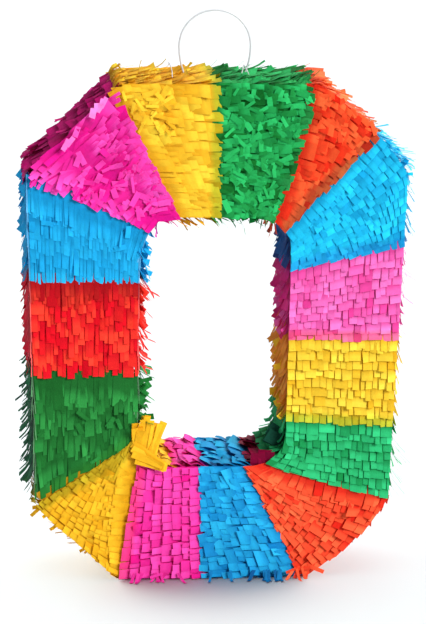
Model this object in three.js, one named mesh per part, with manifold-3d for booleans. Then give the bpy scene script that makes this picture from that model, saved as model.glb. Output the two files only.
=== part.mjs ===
// A pinata in the shape of a number zero: a hollow cardboard ring with eight
// sides, covered all over in bands of fringed tissue paper. It stands on its
// flat bottom or hangs from a nylon loop, and sweets go in through a flap cut
// in the back of its top leg.
//
// Millimetres. +X is the viewer's right, +Y points away from the viewer, +Z up.
// The origin is on the floor under the middle of the ring.

import * as THREE from 'three';
import { mergeVertices } from 'three/addons/utils/BufferGeometryUtils.js';
import Module from 'manifold-3d';

const wasm = await Module();
wasm.setup();

// ---------------------------------------------------------------- dimensions

// outside of the tissue; the ring is a little wider at the top
const HEIGHT = 400;
const DEPTH = 76;
const TOP_WIDTH = 294;
const BOTTOM_WIDTH = 283;
const TOP_FLAT = 150;
const BOTTOM_FLAT = 144;
const CORNER_HEIGHT = 69;

const HOLE_WIDTH = 117;
const HOLE_BOTTOM = 94;
const HOLE_TOP = 295.5;
const HOLE_CORNER_WIDTH = 18;
const HOLE_CORNER_HEIGHT = 15;

const TISSUE = 4; // thickness of the fringe over the cardboard
const BOARD = 3; // thickness of the cardboard
const GAP = 0.3; // between pieces that touch

// the flap is a window in the back, hinged along its top edge
const FLAP_WIDTH = 66;
const FLAP_HEIGHT = 56;
const FLAP_TOP = 376;
const FLAP_CLEARANCE = 0.8;
const CREASE_GAP = 0.5; // between the flap and the hinge line
const CREASE_CLEARANCE = 5.8; // bare strip that the flap's tissue folds up into
const FLAP_TISSUE_SETBACK = 1.2; // from the hinge line, so that it clears the panel when open

const LINE_RADIUS = 0.7; // clear nylon line
const LINE_HOLE_RADIUS = 1.2;
const LOOP_RADIUS = 27.6;
const LOOP_CENTRE_ABOVE_TOP = 23;
const LOOP_FOOT_X = 23.5;

const COLOURS = {
  pink: 0xf53aac,
  yellow: 0xfccc30,
  green: 0x26a251,
  orange: 0xf74f2f,
  red: 0xf4222a,
  blue: 0x22b4e8,
};

// The seams between neighbouring bands run across the ring from its outside
// to its hole. Each is [x, z] outside, then [x, z] at the hole, clockwise from
// the end of the top left corner. A band lies between its seam and the next.
const BANDS = [
  { name: 'yellow_top', colour: 'yellow', outer: [-80, 400], inner: [-30, 295.5] },
  { name: 'green_top', colour: 'green', outer: [3, 400], inner: [4, 295.5] },
  { name: 'orange_top_right', colour: 'orange', outer: [74.5, 400], inner: [45, 293] },
  { name: 'blue_upper_right', colour: 'blue', outer: [121, 356], inner: [54, 284] },
  { name: 'pink_right', colour: 'pink', outer: [146, 272], inner: [58.5, 254] },
  { name: 'yellow_right', colour: 'yellow', outer: [144.5, 198], inner: [58.5, 198] },
  { name: 'green_right', colour: 'green', outer: [143, 129], inner: [58.5, 129] },
  { name: 'orange_bottom_right', colour: 'orange', outer: [141, 67], inner: [50, 97] },
  { name: 'blue_bottom', colour: 'blue', outer: [67, 0], inner: [28, 94] },
  { name: 'pink_bottom', colour: 'pink', outer: [-8.5, 0], inner: [-10, 94] },
  { name: 'yellow_bottom_left', colour: 'yellow', outer: [-70, 0], inner: [-52, 98] },
  { name: 'green_lower_left', colour: 'green', outer: [-139, 74], inner: [-58.5, 114] },
  { name: 'red_left', colour: 'red', outer: [-140, 173], inner: [-58.5, 168] },
  { name: 'blue_upper_left', colour: 'blue', outer: [-144, 245], inner: [-58.5, 245] },
  { name: 'pink_top_left', colour: 'pink', outer: [-147, 324], inner: [-54, 285] },
];
// the two bands that the ring stands on have their bottom strip as a pad
const STANDING_BANDS = ['blue_bottom', 'pink_bottom'];
const SEAM_OVERSHOOT = 90; // how far a seam is carried past the outside
const SEAM_UNDERSHOOT = 12; // and into the hole

// ------------------------------------------------------------------ materials

const board = new THREE.MeshStandardMaterial({ color: 0xb98f5f, roughness: 0.9 });
const nylon = new THREE.MeshStandardMaterial({ color: 0xe4e6e8, roughness: 0.25 });

function tissueMaterial(colour) {
  return new THREE.MeshStandardMaterial({ color: COLOURS[colour], roughness: 0.85 });
}

// ------------------------------------------------------------------- outlines

// the ring's outside, anticlockwise from the bottom left
function ringOutline() {
  const bottom = BOTTOM_FLAT / 2;
  const top = TOP_FLAT / 2;
  const low = BOTTOM_WIDTH / 2;
  const high = TOP_WIDTH / 2;
  const shoulder = HEIGHT - CORNER_HEIGHT;
  return [
    [-bottom, 0],
    [bottom, 0],
    [low, CORNER_HEIGHT],
    [high, shoulder],
    [top, HEIGHT],
    [-top, HEIGHT],
    [-high, shoulder],
    [-low, CORNER_HEIGHT],
  ];
}

// the hole's outline, in the same order
function holeOutline() {
  const side = HOLE_WIDTH / 2;
  const flat = side - HOLE_CORNER_WIDTH;
  const low = HOLE_BOTTOM + HOLE_CORNER_HEIGHT;
  const high = HOLE_TOP - HOLE_CORNER_HEIGHT;
  return [
    [-flat, HOLE_BOTTOM],
    [flat, HOLE_BOTTOM],
    [side, low],
    [side, high],
    [flat, HOLE_TOP],
    [-flat, HOLE_TOP],
    [-side, high],
    [-side, low],
  ];
}

// moves every edge of an anticlockwise convex outline inwards by a distance
function inset(outline, distance) {
  const count = outline.length;
  const edges = outline.map((start, i) => {
    const end = outline[(i + 1) % count];
    const length = Math.hypot(end[0] - start[0], end[1] - start[1]);
    const along = [(end[0] - start[0]) / length, (end[1] - start[1]) / length];
    const point = [start[0] - along[1] * distance, start[1] + along[0] * distance];
    return { point, along };
  });
  return edges.map((edge, i) => {
    const before = edges[(i + count - 1) % count];
    const dx = edge.point[0] - before.point[0];
    const dz = edge.point[1] - before.point[1];
    const cross = before.along[0] * edge.along[1] - before.along[1] * edge.along[0];
    const step = (dx * edge.along[1] - dz * edge.along[0]) / cross;
    return [before.point[0] + before.along[0] * step, before.point[1] + before.along[1] * step];
  });
}

const outset = (outline, distance) => inset(outline, -distance);

// --------------------------------------------------------------------- solids

function toShape(points) {
  return new THREE.Shape(points.map(([x, z]) => new THREE.Vector2(x, z)));
}

// an outline in the X-Z plane, with any holes, extruded from one Y to another
function slab(outline, holes, yFrom, yTo) {
  const shape = toShape(outline);
  shape.holes = holes.map(toShape);
  const geometry = new THREE.ExtrudeGeometry(shape, { depth: yTo - yFrom, bevelEnabled: false });
  geometry.rotateX(Math.PI / 2);
  geometry.translate(0, yTo, 0);
  return geometry;
}

function rectangle(xFrom, xTo, zFrom, zTo) {
  return [[xFrom, zFrom], [xTo, zFrom], [xTo, zTo], [xFrom, zTo]];
}

function box(xFrom, xTo, yFrom, yTo, zFrom, zTo) {
  return slab(rectangle(xFrom, xTo, zFrom, zTo), [], yFrom, yTo);
}

function toSolid(geometry) {
  const bare = geometry.clone();
  bare.deleteAttribute('normal');
  bare.deleteAttribute('uv');
  const merged = mergeVertices(bare, 1e-4);
  return new wasm.Manifold(new wasm.Mesh({
    numProp: 3,
    vertProperties: new Float32Array(merged.attributes.position.array),
    triVerts: new Uint32Array(merged.index.array),
  }));
}

function toGeometry(solid) {
  const mesh = solid.getMesh();
  const geometry = new THREE.BufferGeometry();
  geometry.setAttribute('position', new THREE.BufferAttribute(mesh.vertProperties, 3));
  geometry.setIndex(new THREE.BufferAttribute(mesh.triVerts, 1));
  geometry.computeVertexNormals();
  return geometry;
}

function cut(geometry, tools) {
  let solid = toSolid(geometry);
  for (const tool of tools) solid = solid.subtract(toSolid(tool));
  return toGeometry(solid);
}

const pinata = new THREE.Group();

function add(name, geometry, material) {
  const mesh = new THREE.Mesh(geometry, material);
  mesh.name = name;
  pinata.add(mesh);
}

// ------------------------------------------------------------ cardboard frame

const ring = ringOutline();
const hole = holeOutline();
const boardOutside = inset(ring, TISSUE + GAP);
const boardHole = outset(hole, TISSUE + GAP);
const panelOuterY = DEPTH / 2 - TISSUE - GAP;
const panelInnerY = panelOuterY - BOARD;

const flapOutline = rectangle(
  -FLAP_WIDTH / 2,
  FLAP_WIDTH / 2,
  FLAP_TOP - FLAP_HEIGHT,
  FLAP_TOP - CREASE_GAP,
);
const flapWindow = rectangle(
  -FLAP_WIDTH / 2 - FLAP_CLEARANCE,
  FLAP_WIDTH / 2 + FLAP_CLEARANCE,
  FLAP_TOP - FLAP_HEIGHT - FLAP_CLEARANCE,
  FLAP_TOP + GAP,
);

function addPanels() {
  add('front_panel', slab(boardOutside, [boardHole], -panelOuterY, -panelInnerY), board);
  add('back_panel', slab(boardOutside, [boardHole, flapWindow], panelInnerY, panelOuterY), board);
}

// holes in the top of the ring for the nylon line, one under each foot
function lineHoles() {
  return [-LOOP_FOOT_X, LOOP_FOOT_X].map((x) => {
    const drill = new THREE.CylinderGeometry(LINE_HOLE_RADIUS, LINE_HOLE_RADIUS, 24, 16);
    drill.rotateX(Math.PI / 2);
    drill.translate(x, 0, HEIGHT);
    return drill;
  });
}

// one straight board of a wall: edge i of an outline, mitred at its ends
function wallBoard(outside, inside, i) {
  const next = (i + 1) % outside.length;
  const start = outside[i];
  const end = outside[next];
  const length = Math.hypot(end[0] - start[0], end[1] - start[1]);
  const trim = [(end[0] - start[0]) / length * GAP, (end[1] - start[1]) / length * GAP];
  const corners = [
    [start[0] + trim[0], start[1] + trim[1]],
    [end[0] - trim[0], end[1] - trim[1]],
    [inside[next][0] - trim[0], inside[next][1] - trim[1]],
    [inside[i][0] + trim[0], inside[i][1] + trim[1]],
  ];
  return slab(corners, [], -panelInnerY + GAP, panelInnerY - GAP);
}

function addWalls() {
  const sides = [
    'bottom', 'bottom_right', 'right', 'top_right', 'top', 'top_left', 'left', 'bottom_left',
  ];
  const boardInside = inset(boardOutside, BOARD);
  const holeBack = outset(boardHole, BOARD);
  sides.forEach((side, i) => {
    const outer = wallBoard(boardOutside, boardInside, i);
    add(`outer_wall_${side}`, side === 'top' ? cut(outer, lineHoles()) : outer, board);
  });
  sides.forEach((side, i) => {
    add(`hole_wall_${side}`, wallBoard(holeBack, boardHole, i), board);
  });
}

// ---------------------------------------------------------------- tissue skin

// the part of the plane between two seams, trimmed back from each by half a gap
function bandSector(band, next) {
  const carry = (seam, side) => {
    const along = [seam.outer[0] - seam.inner[0], seam.outer[1] - seam.inner[1]];
    const length = Math.hypot(along[0], along[1]);
    const unit = [along[0] / length, along[1] / length];
    const shift = [unit[1] * side * GAP / 2, -unit[0] * side * GAP / 2];
    return {
      far: [
        seam.outer[0] + unit[0] * SEAM_OVERSHOOT + shift[0],
        seam.outer[1] + unit[1] * SEAM_OVERSHOOT + shift[1],
      ],
      near: [
        seam.inner[0] - unit[0] * SEAM_UNDERSHOOT + shift[0],
        seam.inner[1] - unit[1] * SEAM_UNDERSHOOT + shift[1],
      ],
    };
  };
  const start = carry(band, 1);
  const end = carry(next, -1);
  return [start.near, start.far, end.far, end.near];
}

function tissueShell() {
  const outside = toSolid(slab(ring, [hole], -DEPTH / 2, DEPTH / 2));
  const core = toSolid(slab(
    inset(ring, TISSUE),
    [outset(hole, TISSUE)],
    -DEPTH / 2 + TISSUE,
    DEPTH / 2 - TISSUE,
  ));
  const flapOpening = box(
    -FLAP_WIDTH / 2 - FLAP_CLEARANCE,
    FLAP_WIDTH / 2 + FLAP_CLEARANCE,
    0,
    DEPTH,
    FLAP_TOP - FLAP_HEIGHT - FLAP_CLEARANCE,
    FLAP_TOP + CREASE_CLEARANCE,
  );
  let shell = outside.subtract(core);
  for (const tool of [flapOpening, ...lineHoles()]) shell = shell.subtract(toSolid(tool));
  return shell;
}

function addTissue() {
  const shell = tissueShell();
  const padCut = toSolid(box(-DEPTH * 2, DEPTH * 2, -DEPTH, DEPTH, -DEPTH, TISSUE + GAP));
  const padStock = toSolid(box(-DEPTH * 2, DEPTH * 2, -DEPTH, DEPTH, -DEPTH, TISSUE));
  BANDS.forEach((band, i) => {
    const next = BANDS[(i + 1) % BANDS.length];
    const sector = toSolid(slab(bandSector(band, next), [], -DEPTH, DEPTH));
    const sleeve = shell.intersect(sector);
    const material = tissueMaterial(band.colour);
    if (STANDING_BANDS.includes(band.name)) {
      add(`tissue_${band.name}`, toGeometry(sleeve.subtract(padCut)), material);
      add(`foot_tissue_${band.colour}`, toGeometry(sleeve.intersect(padStock)), material);
    } else {
      add(`tissue_${band.name}`, toGeometry(sleeve), material);
    }
  });
}

// ------------------------------------------------------------------ fill flap

function addFlap() {
  add('fill_flap', slab(flapOutline, [], panelInnerY, panelOuterY), board);
  const seamX = BANDS.find((band) => band.name === 'green_top').outer[0];
  const tissueFrom = DEPTH / 2 - TISSUE;
  const [low, high] = [FLAP_TOP - FLAP_HEIGHT, FLAP_TOP - FLAP_TISSUE_SETBACK];
  const left = box(-FLAP_WIDTH / 2, seamX - GAP / 2, tissueFrom, DEPTH / 2, low, high);
  const right = box(seamX + GAP / 2, FLAP_WIDTH / 2, tissueFrom, DEPTH / 2, low, high);
  add('flap_tissue_yellow', left, tissueMaterial('yellow'));
  add('flap_tissue_green', right, tissueMaterial('green'));
}

// --------------------------------------------------------------- hanging loop

const hingeZ = HEIGHT + LINE_RADIUS + 0.1;

function lineAlong(points, steps) {
  const curve = new THREE.CatmullRomCurve3(points, false, 'centripetal');
  const section = new THREE.Shape();
  section.absarc(0, 0, LINE_RADIUS, 0, Math.PI * 2);
  const options = { steps, curveSegments: 5, extrudePath: curve, bevelEnabled: false };
  return new THREE.ExtrudeGeometry(section, options);
}

// a round bow whose legs draw in a little towards the feet
function loopPoints() {
  const centreZ = HEIGHT + LOOP_CENTRE_ABOVE_TOP;
  const legBend = new THREE.Vector3(LOOP_RADIUS - 1, 0, (centreZ + hingeZ) / 2);
  const foot = new THREE.Vector3(LOOP_FOOT_X, 0, hingeZ);
  const bow = [];
  const arcs = 12;
  for (let i = 0; i <= arcs; i += 1) {
    const angle = Math.PI * i / arcs;
    const x = LOOP_RADIUS * Math.cos(angle);
    bow.push(new THREE.Vector3(x, 0, centreZ + LOOP_RADIUS * Math.sin(angle)));
  }
  const mirror = ({ x, y, z }) => new THREE.Vector3(-x, y, z);
  return [foot, legBend, ...bow, mirror(legBend), mirror(foot)];
}

// the rest of the line, down through both holes and across under the top wall
function tiePoints() {
  const topZ = HEIGHT - GAP;
  const underZ = HEIGHT - TISSUE - GAP - BOARD - GAP - LINE_RADIUS;
  const corner = 2;
  return [
    new THREE.Vector3(-LOOP_FOOT_X, 0, topZ),
    new THREE.Vector3(-LOOP_FOOT_X, 0, underZ + corner * 2),
    new THREE.Vector3(-LOOP_FOOT_X, 0, underZ),
    new THREE.Vector3(-LOOP_FOOT_X + corner, 0, underZ - corner),
    new THREE.Vector3(0, 0, underZ - corner),
    new THREE.Vector3(LOOP_FOOT_X - corner, 0, underZ - corner),
    new THREE.Vector3(LOOP_FOOT_X, 0, underZ),
    new THREE.Vector3(LOOP_FOOT_X, 0, underZ + corner * 2),
    new THREE.Vector3(LOOP_FOOT_X, 0, topZ),
  ];
}

function addLoop() {
  add('hanging_loop', lineAlong(loopPoints(), 60), nylon);
  add('loop_tie', lineAlong(tiePoints(), 36), nylon);
}

addPanels();
addWalls();
addTissue();
addFlap();
addLoop();

export default pinata;
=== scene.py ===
import math
from collections import namedtuple

import bmesh
import bpy
import numpy as np
from mathutils import Matrix, Vector


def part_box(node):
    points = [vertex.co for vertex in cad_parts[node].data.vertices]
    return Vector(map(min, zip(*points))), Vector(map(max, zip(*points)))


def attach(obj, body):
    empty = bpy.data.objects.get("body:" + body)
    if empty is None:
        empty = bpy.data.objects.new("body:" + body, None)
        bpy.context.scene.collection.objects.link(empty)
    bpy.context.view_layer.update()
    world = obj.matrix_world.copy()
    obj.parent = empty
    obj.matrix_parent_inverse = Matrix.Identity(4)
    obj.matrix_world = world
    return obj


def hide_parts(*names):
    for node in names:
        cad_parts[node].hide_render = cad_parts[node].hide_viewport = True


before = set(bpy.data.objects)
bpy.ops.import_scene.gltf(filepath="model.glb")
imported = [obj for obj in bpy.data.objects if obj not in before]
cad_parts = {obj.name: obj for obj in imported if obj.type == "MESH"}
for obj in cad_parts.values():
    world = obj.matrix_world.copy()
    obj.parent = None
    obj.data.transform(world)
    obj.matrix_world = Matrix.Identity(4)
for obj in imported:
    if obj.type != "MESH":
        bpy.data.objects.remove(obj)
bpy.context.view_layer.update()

# A number-zero pinata: a board ring covered in bands of cut tissue fringe, with a filling flap in its back
# and a springy nylon loop on top. Lengths are in metres, and the front faces -Y.

MM = 0.001

# ---------------- bands
# The bands clockwise from the top, each named by its colour and place: sRGB shades of its gaps and of its
# tips (the deep one is also painted as shade where fingers come out from under the row before), the seam
# where it starts (clockwise from the front) at the rim and at the hole in mm, that seam's bow, the way its
# fingers point (1 clockwise, -1 anticlockwise, 0 both ways), how its face is cut, and the side of the
# outline that its fingers run along, or None where they fan out.
Band = namedtuple("Band", "name deep light rim hole bow flow face leg", defaults=[None])
TOP, RIGHT, BASE, LEFT = 0, 2, 4, 6
BANDS = [
    Band("yellow_top", (240, 176, 26), (255, 220, 60), (-80, 400), (-30, 295.5), 0, 1, "flat", TOP),
    Band("green_top", (16, 118, 40), (46, 198, 106), (3, 400), (4, 295.5), 0, 1, "tangled", TOP),
    Band("orange_top_right", (234, 36, 16), (255, 106, 54), (74.5, 400), (45, 293), 4.5, 1, "fan"),
    Band("blue_upper_right", (10, 160, 216), (36, 214, 250), (121, 356), (54, 284), 0, 1, "smooth"),
    Band("pink_right", (226, 50, 144), (255, 130, 212), (146, 272), (58.5, 254), 0, 1, "neat", RIGHT),
    Band("yellow_right", (228, 172, 16), (252, 228, 72), (144.5, 198), (58.5, 198), 0, 1, "neat", RIGHT),
    Band("green_right", (6, 128, 60), (52, 206, 130), (143, 129), (58.5, 129), 0, 1, "neat", RIGHT),
    Band("orange_bottom_right", (226, 26, 12), (255, 106, 62), (141, 67), (45, 91), 2, 1, "blocks"),
    Band("blue_bottom", (8, 128, 196), (40, 186, 238), (67, 0), (28, 94), 0, 1, "puffy", BASE),
    Band("pink_bottom", (232, 12, 140), (255, 84, 194), (-8.5, 0), (-10, 94), 0, 1, "columns", BASE),
    Band("yellow_bottom_left", (230, 164, 12), (252, 202, 44), (-70, 0), (-62, 106), 0, 1, "tidy"),
    Band("green_lower_left", (22, 100, 36), (46, 148, 66), (-139, 74), (-58.5, 114), 0, -1, "matted", LEFT),
    Band("red_left", (226, 0, 30), (255, 62, 44), (-140, 173), (-58.5, 168), 0, -1, "strips", LEFT),
    Band("blue_upper_left", (12, 152, 212), (36, 188, 242), (-144, 245), (-58.5, 245), 0, -1, "long", LEFT),
    Band("pink_top_left", (240, 12, 150), (255, 88, 202), (-147, 318), (-54, 285), 3, 0, "tangled_pink"),
]
RIDGE = 0.42  # how far round the top left band its fingers part, some to each side
HOLE_WALL_SEAMS = {"yellow_bottom_left": (-36, 94)}  # where a seam meets the hole's wall somewhere else

# How a kind of fringe is cut and laid, in mm and degrees. blotch is how much its shade drifts from place to
# place, and selvedge a thin pale strip at the ends of its rows.
CUT = "pitch width double length slope ragged yaw lift curled curl bulge "
Style = namedtuple("Style", CUT + "tone blotch scraps scrap_area whiskers selvedge")
ANYWHERE = (0.07, 0.93, 0.05, 0.95)  # from and to round the band, then from the hole to the rim
NEAT = Style(
    7.5, (3.8, 6.8), 0.14, 13.2, 0.2, 0.9, 1.8, 0.18, 0.06, 0.15, 0.0, 0.2, 0.14, 0, ANYWHERE, 0, False
)
but = NEAT._replace  # the neat cut, but with these values
STYLES = {
    "neat": NEAT,
    "flat": but(
        pitch=9, width=(4, 9), length=17, slope=0.05, ragged=1.0, yaw=3, tone=0.08, blotch=0.3, scraps=34,
        scrap_area=(0.04, 0.5, 0.66, 0.98),
    ),
    "tangled": but(
        pitch=8, width=(3.5, 6.5), slope=0.2, ragged=2.2, yaw=9, lift=0.3, curled=0.25, curl=0.3,
        tone=0.3, blotch=0.25, scraps=150,
    ),
    "tangled_pink": but(
        pitch=8, width=(2.6, 5), length=21, slope=0.13, ragged=3, yaw=12, lift=0.3, curled=0.25,
        curl=0.2, tone=0.18, blotch=0.5, scraps=64, scrap_area=(0.1, 0.9, 0.06, 0.84),
    ),
    "fan": but(
        pitch=7, width=(4.5, 7), slope=0.24, ragged=1.5, yaw=5, lift=0.25, curled=0.1, curl=0.25,
        tone=0.3, blotch=0.25, scraps=30, scrap_area=(0.1, 0.9, 0.72, 1.0),
    ),
    "smooth": but(pitch=7, width=(4.5, 6.5), slope=0.15, ragged=0.7, yaw=2, tone=0.2),
    "blocks": but(pitch=7, width=(4.5, 8.5), length=14, slope=0.24, ragged=0.9, yaw=2, lift=0.25, tone=0.25),
    "puffy": but(
        pitch=8, width=(4.5, 8), length=14, slope=0.2, ragged=0.8, yaw=4, lift=0.2, bulge=1.0, tone=0.22,
    ),
    "columns": but(
        pitch=8, width=(4, 8), slope=0.26, ragged=0.5, yaw=3, lift=0.2, curled=0.12, bulge=0.5,
        tone=0.2,
    ),
    "tidy": but(pitch=8.5, width=(4.5, 6.5), length=15, slope=0.15, ragged=0.5, yaw=2, tone=0.16),
    "long": but(
        pitch=12, width=(1.8, 4.5), length=28, slope=0.025, ragged=2.5, yaw=0.8, lift=0.12, tone=0.12,
        scraps=4, selvedge=True,
    ),
    "matted": but(
        pitch=12, width=(2.2, 6), length=27, slope=0.03, ragged=3, yaw=3, lift=0.15, tone=0.14, blotch=0.4,
        scraps=6, selvedge=True,
    ),
    "strips": but(
        pitch=9.5, width=(2.6, 5), length=18, slope=0.1, ragged=3.2, yaw=1.5, lift=0.2, tone=0.35,
        blotch=0.55, selvedge=True,
    ),
    "rim": but(pitch=8.5, width=(5, 8), length=13, slope=0.28, ragged=1.5, yaw=4, lift=0.2, whiskers=2),
    "teeth": but(pitch=10.8, width=(6, 10), length=12.5, slope=0.34, ragged=0.8, yaw=3, lift=0.15),
    "flat_teeth": but(pitch=9.5, width=(7, 11), length=12, slope=0.23, ragged=0.8, yaw=3, tone=0.3),
    "curls": but(
        pitch=9.5, width=(3.5, 7), length=13, slope=0.28, ragged=2.5, yaw=6, lift=0.35, curled=0.5,
        curl=0.5,
    ),
    "top": but(
        pitch=8.5, width=(5, 10), length=15, slope=0.19, ragged=2.5, yaw=8, lift=0.3, curled=0.25,
        curl=0.35, tone=0.35, blotch=0.3, whiskers=1,
    ),
    "shingle": but(
        pitch=8.5, width=(5, 9), length=14, slope=0.36, ragged=1.6, yaw=5, lift=0.25, tone=0.3, whiskers=1,
    ),
    "under": but(pitch=9, length=13, slope=0.12, ragged=1.2, yaw=4, lift=0.2),
    "spikes": but(pitch=8, width=(3, 6), length=14, slope=0.4, ragged=2.5, yaw=8, lift=0.3, whiskers=1),
    "hole": but(
        pitch=10, width=(5, 9), length=13, slope=0.46, ragged=2.4, yaw=9, lift=0.4, curled=0.4,
        curl=0.5, bulge=0.6, tone=0.3, whiskers=1,
    ),
    "hole_teeth": but(
        pitch=10.8, width=(6, 10), length=14, slope=0.38, ragged=1.2, yaw=4, lift=0.15, curled=0.15,
        curl=0.3,
    ),
    "crumple": but(
        pitch=9, width=(8, 13), length=13, slope=0.2, ragged=2.5, yaw=14, lift=0.4, curled=0.4,
        curl=0.3, bulge=1.8, tone=0.35,
    ),
    "flap": but(pitch=7.5, length=12.5, slope=0.15, ragged=0.5),
}
RIM_STYLES = {
    "yellow_top": "top", "green_top": "top", "orange_top_right": "shingle", "blue_upper_right": "spikes",
    "green_lower_left": "curls", "red_left": "teeth", "blue_upper_left": "teeth",
    "pink_top_left": "flat_teeth",
    **dict.fromkeys(("blue_bottom", "pink_bottom", "yellow_bottom_left"), "under"),
}
HOLE_STYLES = {
    **dict.fromkeys(("blue_upper_right", "pink_right", "yellow_right", "green_right"), "hole_teeth"),
    **dict.fromkeys(("orange_bottom_right", "blue_bottom", "pink_bottom", "yellow_bottom_left"), "crumple"),
}
TAILS = [  # points in mm along each loose end of the nylon line
    [(22.5, -1, 408.5), (20.5, -14, 408), (18, -27, 406.5)],
    [(22.5, -1, 408.5), (23, -14, 407.5), (23.5, -27, 405.5)],
    [(-36, -39, 405.5), (-35.6, -31, 408.5), (-35.2, -16, 409.5), (-35, 0, 409.5), (-34.8, 12, 407.5)],
]
TAIL_RADIUS, TAIL_SIDES = 0.35 * MM, 6

# Bunches of cuttings that stand up from a band's walls: whether they are on the rim, the middle in mm, how
# far they spread along the wall and between which depths, their number, widths, lengths and steepness.
Tuft = namedtuple("Tuft", "rim middle spread depths count width length steep")
TUFTS = {
    "yellow_top": [Tuft(True, (-50, 396), 7, (-34, -4), 12, (1.2, 3), (5, 8), 1.3)],
    "green_top": [
        Tuft(True, (57, 396), 9, (-34, 0), 16, (1.2, 3), (5, 8), 1.2),
        Tuft(True, (24, 396), 10, (-34, -14), 8, (2, 4), (4, 6), 0.8),
        Tuft(False, (20, 300), 20, (-36, -10), 12, (3, 6), (5, 8), 0.7),
    ],
    "blue_upper_right": [Tuft(True, (131, 340), 20, (-36, 20), 26, (1.4, 3.2), (8, 13), 0.9)],
    "pink_right": [Tuft(True, (141, 236), 36, (-36, -20), 12, (0.8, 1.8), (7, 11), 0.9)],
    "green_right": [Tuft(True, (139, 104), 30, (-36, -16), 22, (0.8, 2.0), (8, 14), 0.9)],
    "orange_bottom_right": [Tuft(True, (104, 37), 34, (-36, 10), 22, (2, 4), (6, 9), 0.5)],
    "yellow_bottom_left": [Tuft(True, (-104, 38), 34, (-36, 10), 18, (1.4, 3), (5, 9), 0.8)],
    "green_lower_left": [Tuft(False, (-62, 150), 22, (-36, -10), 9, (2.5, 5), (8, 12), 0.9)],
    "blue_upper_left": [Tuft(False, (-62, 262), 14, (-36, -10), 8, (3, 6), (7, 11), 0.8)],
}
# A band's loose pieces whose flat sides face the front: from and to in mm, between which depths, their angle
# (0 to the right, 90 up) and its spread, their number, widths, lengths, and shades if not the band's.
Flag = namedtuple("Flag", "start end depths angle spread count width length shades", defaults=[None])
FLAGS = {
    "yellow_bottom_left": [
        Flag((-63, 115), (-59, 113), (-39, -37), -40, 3, 4, (5, 7), (24, 29)),
        Flag((-64, 112), (-62, 111), (-39.5, -38), -31, 2, 3, (4, 6), (29, 31)),
        Flag((-64, 107), (-61, 107), (-40, -38.5), -21, 2, 3, (4, 6), (26, 28)),
        Flag((-62, 102), (-59, 101), (-40.5, -39), -10, 2, 3, (4, 6), (23, 25)),
        Flag((-63, 106), (-56, 104), (-36, -27), 88, 4, 9, (4, 6), (23, 28)),
        Flag((-56, 104), (-47, 98), (-36, -27), 84, 4, 14, (4, 6), (30, 36)),
        Flag((-130, 63), (-84, 18), (-35, 0), 215, 50, 10, (1.6, 3.6), (9, 19)),
    ],
    "pink_top_left": [
        Flag(
            (-119, 349), (-88, 384), (-41.5, -40), 75, 30, 9, (3, 5), (6, 10),
            ((250, 70, 190), (255, 150, 226)),
        ),
    ],
    "blue_bottom": [
        Flag((60, 8), (-2, 8), (-41, -39), -90, 50, 12, (1.5, 3.5), (9, 15), ((8, 80, 140), (20, 130, 190))),
    ],
    "pink_bottom": [
        Flag((-14, 7), (-66, 7), (-41, -39), -90, 50, 9, (1.5, 3), (9, 14), ((190, 10, 110), (240, 60, 170))),
    ],
    "orange_bottom_right": [
        Flag((66, 8), (80, 12), (-41, -39), -80, 50, 9, (2, 3.5), (9, 15)),
        # a dark red block of painted shade, standing for the shaded wall at the hole's lower right
        Flag((36, 79), (47, 79), (-31, -27), 90, 3, 5, (10, 12), (26, 29), ((112, 0, 44), (140, 0, 54))),
        Flag((84, 16), (134, 66), (-33, 0), -35, 20, 14, (3, 5), (12, 17)),
    ],
    "green_right": [
        # a dark green block of painted shade in the hole's lower right corner
        Flag((60, 105), (62, 112), (-24, -10), 152, 8, 3, (9, 12), (16, 19), ((14, 62, 50), (18, 74, 56))),
    ],
    "blue_upper_left": [Flag((-63, 282), (-63, 252), (-33, -10), -38, 22, 9, (3, 6), (10, 16))],
    "red_left": [Flag((-62, 244), (-62, 176), (-33, -10), -55, 12, 16, (3, 6), (9, 15))],
    "green_lower_left": [Flag((-62, 168), (-61, 128), (-33, -10), 38, 26, 13, (3, 6), (10, 17))],
    "pink_right": [Flag((61, 250), (61, 200), (-30, 10), 215, 14, 8, (4, 7), (8, 11))],
    "yellow_right": [Flag((61, 196), (61, 132), (-30, 10), 215, 14, 10, (4, 7), (9, 12))],
    "green_top": [Flag((10, 301), (40, 301), (-33, -10), -50, 30, 12, (3, 6), (8, 12))],
    "yellow_top": [Flag((-28, 301), (0, 301), (-33, -10), -40, 25, 8, (3, 6), (7, 10))],
    "blue_upper_right": [Flag((122, 345), (143, 325), (-34, 10), 48, 26, 16, (2.5, 5), (11, 17))],
}
# Wall fringe painted in other shades than the face's: painted shade on walls out of the light (outer walls
# on the left, the hole's walls on the right), and painted light on the top right rim's orange and blue.
RIM_SHADES = {
    "orange_top_right": ((244, 70, 28), (255, 138, 70)), "pink_top_left": ((176, 0, 96), (226, 20, 132)),
    "red_left": ((190, 0, 40), (240, 30, 60)), "green_lower_left": ((34, 70, 56), (48, 132, 84)),
    "blue_upper_right": ((26, 176, 226), (110, 232, 252)),
}
HOLE_SHADES = {
    "orange_bottom_right": ((112, 0, 44), (158, 6, 62)), "pink_right": ((204, 10, 116), (240, 60, 160)),
    "yellow_right": ((240, 142, 24), (255, 190, 72)), "blue_upper_right": ((20, 56, 130), (40, 118, 196)),
}

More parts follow.
